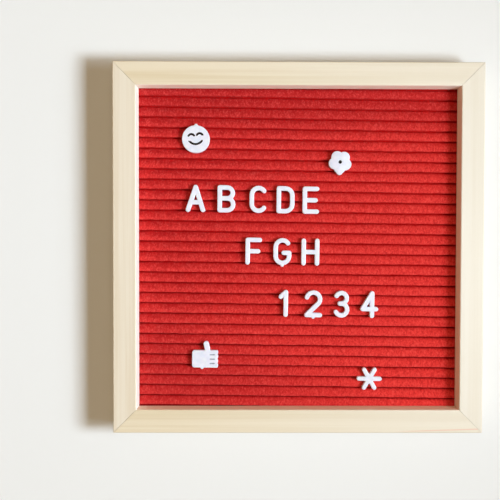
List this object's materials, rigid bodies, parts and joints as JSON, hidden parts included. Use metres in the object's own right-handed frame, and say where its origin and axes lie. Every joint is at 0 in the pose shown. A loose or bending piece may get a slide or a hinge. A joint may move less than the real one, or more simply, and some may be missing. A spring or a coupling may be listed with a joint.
{
  "type": "felt letter board",
  "caption": "Square felt letter board: mitred pale wooden frame round a pleated red felt panel, with white plastic characters and symbols pushed into its grooves.",
  "frame": {"origin": "middle of the board's back, on the surface that it lies on", "axes": "+Z out of the face, +Y towards the top edge as it is read, +X to the right as it is read"},
  "size_m": [0.254, 0.254, 0.022],
  "materials": {
    "frame_wood": "pale straight-grained softwood, sanded, with a thin matt seal",
    "felt": "dense red felt, napped, folded into horizontal ribs",
    "fibreboard": "brown fibreboard, smooth face",
    "steel": "thin zinc-plated sheet steel and wire",
    "white_plastic": "injection-moulded white plastic, satin gloss"
  },
  "bodies": {
    "root": {"rail_top": "frame_wood", "rail_bottom": "frame_wood", "rail_left": "frame_wood", "rail_right": "frame_wood", "felt": "felt", "core_board": "fibreboard", "back_panel": "fibreboard", "point_top_1": "steel", "point_top_2": "steel", "point_bottom_1": "steel", "point_bottom_2": "steel", "point_left_1": "steel", "point_left_2": "steel", "point_right_1": "steel", "point_right_2": "steel", "v_nail_top_left": "steel", "v_nail_top_right": "steel", "v_nail_bottom_left": "steel", "v_nail_bottom_right": "steel", "sawtooth_hanger": "steel", "hanger_brad_left": "steel", "hanger_brad_right": "steel", "letter_A": "white_plastic", "letter_B": "white_plastic", "letter_C": "white_plastic", "letter_D": "white_plastic", "letter_E": "white_plastic", "letter_F": "white_plastic", "letter_G": "white_plastic", "letter_H": "white_plastic", "number_1": "white_plastic", "number_2": "white_plastic", "number_3": "white_plastic", "number_4": "white_plastic", "smile_disc": "white_plastic", "flower": "white_plastic", "thumbs_up": "white_plastic", "asterisk": "white_plastic"}
  },
  "joints": []
}
